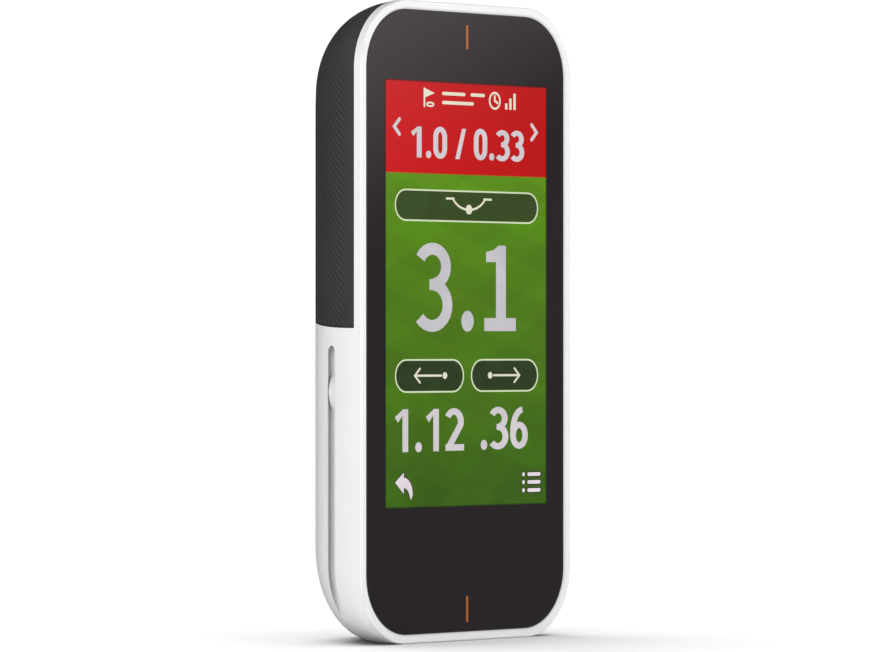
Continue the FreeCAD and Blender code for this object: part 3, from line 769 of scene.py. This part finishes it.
def number_two(x0, x1, z0, z1, width):
    """The numeral 2."""
    to_box, (across, tall) = fitted(x0, x1, z0, z1, width)
    bowl = arc(to_box(0.44, 0.72), (across * 0.54, tall * 0.28), 152, -22)
    return stroke(bowl + [to_box(0.06, 0.03)], width) + [rectangle(x0, x1, z0, z0 + width)]


def number_three(x0, x1, z0, z1, width):
    """The numeral 3: two bowls that meet at a short bar."""
    to_box, (across, tall) = fitted(x0, x1, z0, z1, width)
    upper = arc(to_box(0.40, 0.77), (across * 0.54, tall * 0.23), 152, -84)
    lower = arc(to_box(0.38, 0.27), (across * 0.62, tall * 0.27), 88, -142)
    bar = [to_box(0.28, 0.535), to_box(0.48, 0.535)]
    return stroke(upper, width) + stroke(lower, width) + stroke(bar, width * 0.92)


def number_six(x0, x1, z0, z1, width):
    """The numeral 6: a closed bowl and a back that curls over it."""
    to_box, (across, tall) = fitted(x0, x1, z0, z1, width)
    bowl = arc(to_box(0.5, 0.29), (across / 2, tall * 0.29), 0, 345, 24)
    curl = arc(to_box(0.80, 0.42), (across * 0.80, tall * 0.58), 172, 92)
    back = [to_box(0.0, 0.29), to_box(0.0, 0.42)] + curl
    return stroke(bowl, width, closed=True) + stroke(back, width)


def slimmed(numeral, x0, x1, z0, z1, width, ratio=1.38):
    """The numeral with its level strokes thinner than its upright ones."""
    return [[(x, z / ratio) for x, z in shape] for shape in numeral(x0, x1, z0 * ratio, z1 * ratio, width)]


def holds(shape, point):
    """True if the polygon holds the point."""
    inside = False
    for (ax, az), (bx, bz) in zip(shape, list(shape[1:]) + [shape[0]]):
        if (az > point.y) != (bz > point.y) and point.x < ax + (point.y - az) / (bz - az) * (bx - ax):
            inside = not inside
    return inside


def marks_mesh(name, shapes, depth, thickness):
    """One thin closed mesh that covers every shape, its front at this depth."""
    corners, outlines = [], []
    for shape in shapes:
        area = sum(a[0] * b[1] - b[0] * a[1] for a, b in zip(shape, list(shape[1:]) + [shape[0]]))
        ordered = list(shape) if area > 0 else list(reversed(shape))
        outlines.append(list(range(len(corners), len(corners) + len(ordered))))
        corners += [Vector((p[0], p[1])) for p in ordered]
    flat, _, triangles = delaunay_2d_cdt(corners, [], outlines, 0, 1e-4, False)[:3]
    boxes = [(min(p[0] for p in s), min(p[1] for p in s), max(p[0] for p in s), max(p[1] for p in s))
             for s in shapes]
    covered = []
    for triangle in triangles:
        middle = sum((flat[i] for i in triangle), Vector((0, 0))) / 3
        near = (s for s, b in zip(shapes, boxes) if b[0] <= middle.x <= b[2] and b[1] <= middle.y <= b[3])
        if any(holds(s, middle) for s in near):
            covered.append(triangle)
    used = sorted({i for triangle in covered for i in triangle})
    number = {old: new for new, old in enumerate(used)}
    faces = [[number[i] for i in triangle] for triangle in covered]
    front, back = ([place(flat[i].x, d, flat[i].y) for i in used] for d in (depth, depth + thickness))
    return closed_mesh(name, front, back, faces)


def big_reading():
    """The large reading in the middle of the screen."""
    foot, top = 60.3, 77.05
    stem = (8.6, 11.55)
    shapes = slimmed(number_three, -14.55, -4.4, 60.1, 77.35, 2.8, 1.22)
    shapes.append(disc((0.1, 62.2), (1.82, 2.05)))
    shapes.append([(stem[0], foot), (stem[1], foot), (stem[1], top), (9.3, top), (8.0, 76.2),
                   (5.65, 75.75), (5.65, 73.8), (stem[0], 73.8)])
    shapes.append(rectangle(5.1, 14.55, foot, 62.85))
    return shapes


def small_readings():
    """The two readings in the screen's lower part."""
    width = 1.62
    shapes = number_one(-21.15, -17.3, 36.95, 45.2, width)
    shapes.append(disc((-14.27, 37.85), (0.95, 0.97)))
    shapes += number_one(-12.15, -8.35, 37.0, 45.2, width)
    shapes += slimmed(number_two, -6.4, -0.95, 37.05, 45.3, width * 1.06)
    shapes.append(disc((5.0, 38.05), (0.96, 0.98)))
    shapes += slimmed(number_three, 6.9, 12.3, 37.1, 45.45, width * 1.06)
    shapes += slimmed(number_six, 12.9, 18.2, 37.15, 45.45, width * 1.02)
    return shapes


def band_readings():
    """The pair of targets in the red band, and the arrows beside them."""
    width = 1.36
    shapes = number_one(-16.5, -13.4, 93.75, 99.7, width)
    shapes.append(disc((-11.35, 94.4), (0.76, 0.72)))
    shapes += slimmed(number_zero, -9.95, -5.95, 93.65, 99.85, width)
    shapes.append([(-3.5, 93.7), (-2.3, 93.7), (-0.35, 99.65), (-1.5, 99.65)])
    shapes += slimmed(number_zero, 2.0, 5.95, 93.65, 99.8, width)
    shapes.append(disc((7.3, 94.4), (0.74, 0.72)))
    for left, right in ((8.7, 12.75), (13.15, 17.1)):
        shapes += slimmed(number_three, left, right, 93.6, 99.75, width)
    for tip, tail in ((-21.3, -19.8), (20.85, 19.35)):
        shapes += stroke([(tail, 101.0), (tip, 99.55), (tail, 98.1)], 0.74, round_ends=True)
    return shapes


def title_signs():
    """In the screen's title: a golfer's flag and hole, rules, a clock and three rising bars."""
    shapes = stroke([(-12.6, 103.7), (-12.6, 107.1)], THIN_LINE, round_ends=True)
    shapes.append([(-12.5, 107.2), (-9.6, 106.3), (-12.5, 105.4)])
    shapes += stroke(arc((-10.9, 104.1), (1.0, 0.35), 0, 345, 20), 0.35, closed=True)
    upper, lower = (106.0, 106.65), (104.25, 104.9)
    shapes.append(capsule(-7.4, -0.6, *upper))
    shapes.append(capsule(-7.4, 1.9, *lower))
    shapes.append(capsule(1.0, 5.2, *upper))
    clock = (8.2, 105.4)
    shapes += stroke(arc(clock, (1.55, 1.55), 0, 345, 24), THIN_LINE, closed=True)
    shapes += stroke([(clock[0], 106.3), clock, (9.0, 105.0)], 0.45, round_ends=True)
    foot = 103.8
    for i, rise in enumerate((1.2, 2.2, 3.2)):
        left = 11.3 + 1.25 * i
        shapes.append(rectangle(left, left + 0.68, foot, foot + rise))
    return shapes


def swing_sign():
    """In the wide pill: a pendulum's swing between two stops."""
    shapes = stroke(arc((0.5, 88.2), (5.6, 4.3), 215, 325, 22), THIN_LINE, round_ends=True)
    shapes.append(disc((0.5, 83.95), (0.95, 0.95)))
    for left, right in ((-6.1, -4.0), (5.0, 7.1)):
        shapes += stroke([(left, 86.0), (right, 86.0)], THIN_LINE, round_ends=True)
    return shapes


def direction_signs():
    """In the small pills: an arrow back and an arrow forward, each from a ball."""
    height = 51.65
    shapes = []
    for middle, way in ((-11.1, -1), (11.3, 1)):
        tip = middle + way * 4.3
        barb = tip - way * 1.5
        shapes += stroke([(middle - way * 3.4, height), (tip, height)], THIN_LINE, round_ends=True)
        shapes += stroke([(barb, 53.0), (tip, height), (barb, 50.3)], THIN_LINE, round_ends=True)
        shapes.append(disc((middle - way * 4.5, height), (0.66, 0.66)))
    return shapes


def corner_signs(grow=0.0):
    """The reply arrow and the list sign at the screen's lower corners, grown for their outline."""
    head = [(-21.1 - grow * 1.3, 31.15), (-18.6 + grow, 33.0 + grow * 1.6), (-18.6 + grow, 28.9 - grow * 1.6)]
    outer = arc((-18.8, 28.9), (2.75 + grow, 3.2 + grow), 90, -6, 14)
    inner = arc((-18.8, 28.1), (1.95 - grow, 2.0 - grow), 12, 90, 14)
    tail = outer + [(-16.55, 27.7 - grow)] + inner
    shapes = [head, tail]
    for z in (32.1, 30.55, 28.95):
        shapes.append(disc((16.85, z), (0.40 + grow, 0.42 + grow)))
        shapes.append(capsule(18.05 - grow, 22.0 + grow, z - 0.36 - grow, z + 0.36 + grow))
    return shapes


def pill_lines():
    """The pale line round each pill, just inside its edge."""
    half = PILL_LINE / 2
    shapes = []
    for x0, x1, z0, z1 in PILLS:
        shapes += stroke(capsule(x0 + half, x1 - half, z0 + half, z1 - half), PILL_LINE, closed=True)
    return shapes


def make_screen():
    """The lit picture in front of the glass, layer by layer."""
    def layer(name, shapes, depth, material):
        add_piece(name, marks_mesh(name, shapes, depth, PRINT_STEP), material, "case")

    def ink(name, *colour):
        return lit_ink(name, linear(*colour))

    pale = ink("screen_pale", 206, 200, 205)
    front = MARK_DEPTH - PRINT_STEP
    picture = rectangle(-SCREEN_HALF, SCREEN_HALF, SCREEN_BOTTOM, SCREEN_TOP)
    small_pills = [capsule(*pill) for pill in PILLS[1:]]
    labels = title_signs() + swing_sign() + direction_signs()
    layer("screen_picture", [picture], SCREEN_DEPTH, screen_image())
    layer("screen_wide_pill", [capsule(*PILLS[0])], MARK_DEPTH, ink("screen_mid_green", 42, 66, 2))
    layer("screen_pills", small_pills, MARK_DEPTH, ink("screen_dark_green", 28, 50, 2))
    layer("screen_big_reading", big_reading(), MARK_DEPTH, ink("screen_grey", 193, 191, 195))
    layer("screen_small_readings", small_readings(), MARK_DEPTH, pale)
    layer("screen_band_readings", band_readings(), MARK_DEPTH, pale)
    layer("screen_sign_shadow", corner_signs(0.22), MARK_DEPTH, ink("screen_shadow", 28, 48, 14))
    layer("screen_signs", corner_signs(), front, ink("screen_sign_grey", 224, 214, 222))
    layer("screen_labels", labels, front, ink("screen_cream", 226, 222, 200))
    layer("screen_pill_lines", pill_lines(), front, ink("screen_line", 208, 222, 184))


# ================================================================ the power button's sign
def make_button_sign():
    """A raised on-off sign on the power button's cap: a broken ring and a bar."""
    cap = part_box("power_button")[1].x / MM
    radius, thickness = 1.05, 0.3
    shapes = stroke(arc((0, 0), (radius, radius), 130, 410, 26), SIGN_LINE, round_ends=True)
    shapes += stroke([(0, 0.35), (0, 1.35)], SIGN_LINE, round_ends=True)
    mesh = marks_mesh("power_sign", shapes, 0.0, thickness)
    # the flat sign turns to face +x, and leans with the case's side
    slope = half_width(BUTTON_DEPTH + 0.5) - half_width(BUTTON_DEPTH - 0.5)
    for vertex in mesh.vertices:
        u, behind, v = vertex.co.x / MM, vertex.co.y / MM - FRONT, vertex.co.z / MM
        face = half_width(BUTTON_DEPTH) + slope * u + CAP_RISE
        vertex.co = place(min(cap, face + SIGN_RISE) - behind, BUTTON_DEPTH + u, BUTTON_HEIGHT + v)
    finish = moulded("power_sign", (0.35, 0.35, 0.36), 0.4, 0.15, 0.003)
    add_piece("power_sign", mesh, finish.material, "button")


# ================================================================ studio, in metres
SKY_POWER = 7.1         # of the light that falls on the floor alone
SKY_SPREAD = 72         # its width in degrees
SKY_WAY = (0.02, -0.12, -1.0)
SOFT_BOXES = (          # name, width and height, power and place
    ("key", (1.2, 1.2), 5.0, (-1.6, 0.3, 0.8)),
    ("fill", (0.8, 0.8), 1.6, (0.15, -1.5, 0.5)),
)
LIT_PLACE = (0.0, 0.0, 0.06)           # the middle of the object, which they face

FLOOR_HALF = 3.0                       # half its width

CARD_CENTRE = Vector((0.405, -0.370, 0.0))
CARD_ALONG = Vector((0.66, 0.75, 0.0)).normalized()
CARD_HALF = 0.30                       # half its width
CARD_FOOT = Vector((0, 0, -0.5))
CARD_HEAD = Vector((0, 0, 0.6))
CARD_LEAN = 0.69                       # how far its glow leans to the left as it rises
CARD_GLOW_FOOT = 0.101                 # height where the glow begins on its middle line
CARD_GLOW_HEIGHT = 0.066               # height over which the glow grows to its brightest
CARD_COLOURS = ((0.0, (0.33, 0.29, 0.30)), (0.2, (0.42, 0.375, 0.385)), (1.0, (1.20, 1.08, 1.12)))

WORLD_FRONT = (-0.50, -0.85, 0.05)     # the brightest direction
WORLD_REACH = (-0.6, 0.7)              # how far along it the light is weakest, and full
WORLD_LEVELS = (0.08, 1.07)            # brightness there
WORLD_COLOUR = (0.98, 0.99, 1.0)
BACKDROP = 1.06                        # brightness of the white behind the object

CAMERA_PLACE = (-0.8207, -0.7283, 0.0572)
CAMERA_TURN = -48.6                    # degrees from +Y, clockwise seen from above
CAMERA_LENS = 231.5
CAMERA_SHIFT = 0.02405


def soft_box(name, size, power, where):
    """A rectangular light that faces the object."""
    data = bpy.data.lights.new(name, "AREA")
    data.shape = "RECTANGLE"
    data.size, data.size_y = size
    data.energy = power
    light = bpy.data.objects.new(name, data)
    light.location = where
    light.rotation_euler = (Vector(LIT_PLACE) - Vector(where)).to_track_quat("-Z", "Y").to_euler()
    light.visible_camera = False
    bpy.context.scene.collection.objects.link(light)


def flat_sheet(name, corners, material):
    """A sheet with four corners."""
    mesh = bpy.data.meshes.new(name)
    mesh.from_pydata(corners, [], [(0, 1, 2, 3)])
    mesh.materials.append(material)
    sheet = bpy.data.objects.new(name, mesh)
    bpy.context.scene.collection.objects.link(sheet)
    return sheet


def make_floor():
    """A wide pale floor."""
    finish = Finish("floor", Roughness=0.7)
    grain = finish.noise(40.0, 2.0)
    finish.feed("Base Color", finish.ramp(grain, (0.3, (0.37, 0.37, 0.37)), (0.7, (0.39, 0.39, 0.39))))
    corners = [(x * FLOOR_HALF, y * FLOOR_HALF, 0) for x, y in ((-1, -1), (1, -1), (1, 1), (-1, 1))]
    floor = flat_sheet("floor", corners, finish.material)
    floor.visible_glossy = False
    return floor


def card_glow():
    """The card's light: an even grey, with a glow that grows towards the upper left."""
    material = bpy.data.materials.new("reflection_card")
    tree = Tree(material)
    tree.nodes.clear()
    here = tree.node("ShaderNodeTexCoord").outputs["Object"]
    slant = tree.along(here, tuple(Vector((0, 0, 1)) - CARD_ALONG * CARD_LEAN))
    start = CARD_GLOW_FOOT - CARD_LEAN * CARD_ALONG.dot(CARD_CENTRE)
    up = tree.ranged(slant, 0.0, 1.0, start, start + CARD_GLOW_HEIGHT)
    glow = tree.node("ShaderNodeEmission", {"Color": tree.ramp(up, *CARD_COLOURS)})
    tree.node("ShaderNodeOutputMaterial", {"Surface": glow.outputs["Emission"]})
    return material


def make_reflection_card():
    """A card that only gloss sees."""
    left, right = CARD_CENTRE - CARD_ALONG * CARD_HALF, CARD_CENTRE + CARD_ALONG * CARD_HALF
    corners = [left + CARD_FOOT, right + CARD_FOOT, right + CARD_HEAD, left + CARD_HEAD]
    card = flat_sheet("reflection_card", corners, card_glow())
    for ray in ("camera", "diffuse", "transmission", "shadow", "volume_scatter"):
        setattr(card, "visible_" + ray, False)


def make_world():
    """White where the camera looks past the object; soft light round it, stronger before it than behind."""
    world = bpy.data.worlds.new("studio")
    bpy.context.scene.world = world
    tree = Tree(world)
    tree.nodes.clear()
    facing = tree.along(tree.node("ShaderNodeTexCoord").outputs["Generated"], WORLD_FRONT)
    strength = tree.ranged(facing, *WORLD_LEVELS, *WORLD_REACH, interpolation_type="SMOOTHSTEP")
    around = tree.node("ShaderNodeBackground", {"Color": (*WORLD_COLOUR, 1), "Strength": strength})
    behind = tree.node("ShaderNodeBackground", {"Color": (1, 1, 1, 1), "Strength": BACKDROP})
    seen = tree.node("ShaderNodeLightPath").outputs["Is Camera Ray"]
    inputs = {"Fac": seen, 1: around.outputs["Background"], 2: behind.outputs["Background"]}
    both = tree.node("ShaderNodeMixShader", inputs).outputs["Shader"]
    tree.node("ShaderNodeOutputWorld", {"Surface": both})


def make_lights(floor):
    """A wide soft light from above that falls on the floor alone, and two large soft boxes."""
    data = bpy.data.lights.new("sky", "SUN")
    data.energy = SKY_POWER
    data.angle = math.radians(SKY_SPREAD)
    sky = bpy.data.objects.new("sky", data)
    sky.rotation_euler = Vector(SKY_WAY).to_track_quat("-Z", "Y").to_euler()
    bpy.context.scene.collection.objects.link(sky)
    lit = bpy.data.collections.new("lit_by_sky")
    lit.objects.link(floor)
    sky.light_linking.receiver_collection = lit
    for box in SOFT_BOXES:
        soft_box(*box)


def make_camera():
    """A long lens, level, at about the middle of the object's height."""
    data = bpy.data.cameras.new("camera")
    data.lens = CAMERA_LENS
    data.sensor_width = 36.0
    data.shift_y = CAMERA_SHIFT
    camera = bpy.data.objects.new("camera", data)
    camera.location = CAMERA_PLACE
    camera.rotation_euler = (math.radians(90), 0, math.radians(CAMERA_TURN))
    bpy.context.scene.collection.objects.link(camera)
    bpy.context.scene.camera = camera


def dress_frame(finishes):
    """Gives every CAD node the material of its slot."""
    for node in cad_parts.values():
        for holder in node.material_slots:
            holder.material = finishes[holder.material.name.split(".")[0]]


def main():
    """Dresses the frame, adds the new pieces and sets up the studio."""
    bpy.context.scene.view_settings.view_transform = "Standard"
    finishes = make_finishes()
    dress_frame(finishes)
    make_cover(finishes)
    make_screen()
    make_button_sign()
    floor = make_floor()
    make_reflection_card()
    make_world()
    make_lights(floor)
    make_camera()


main()
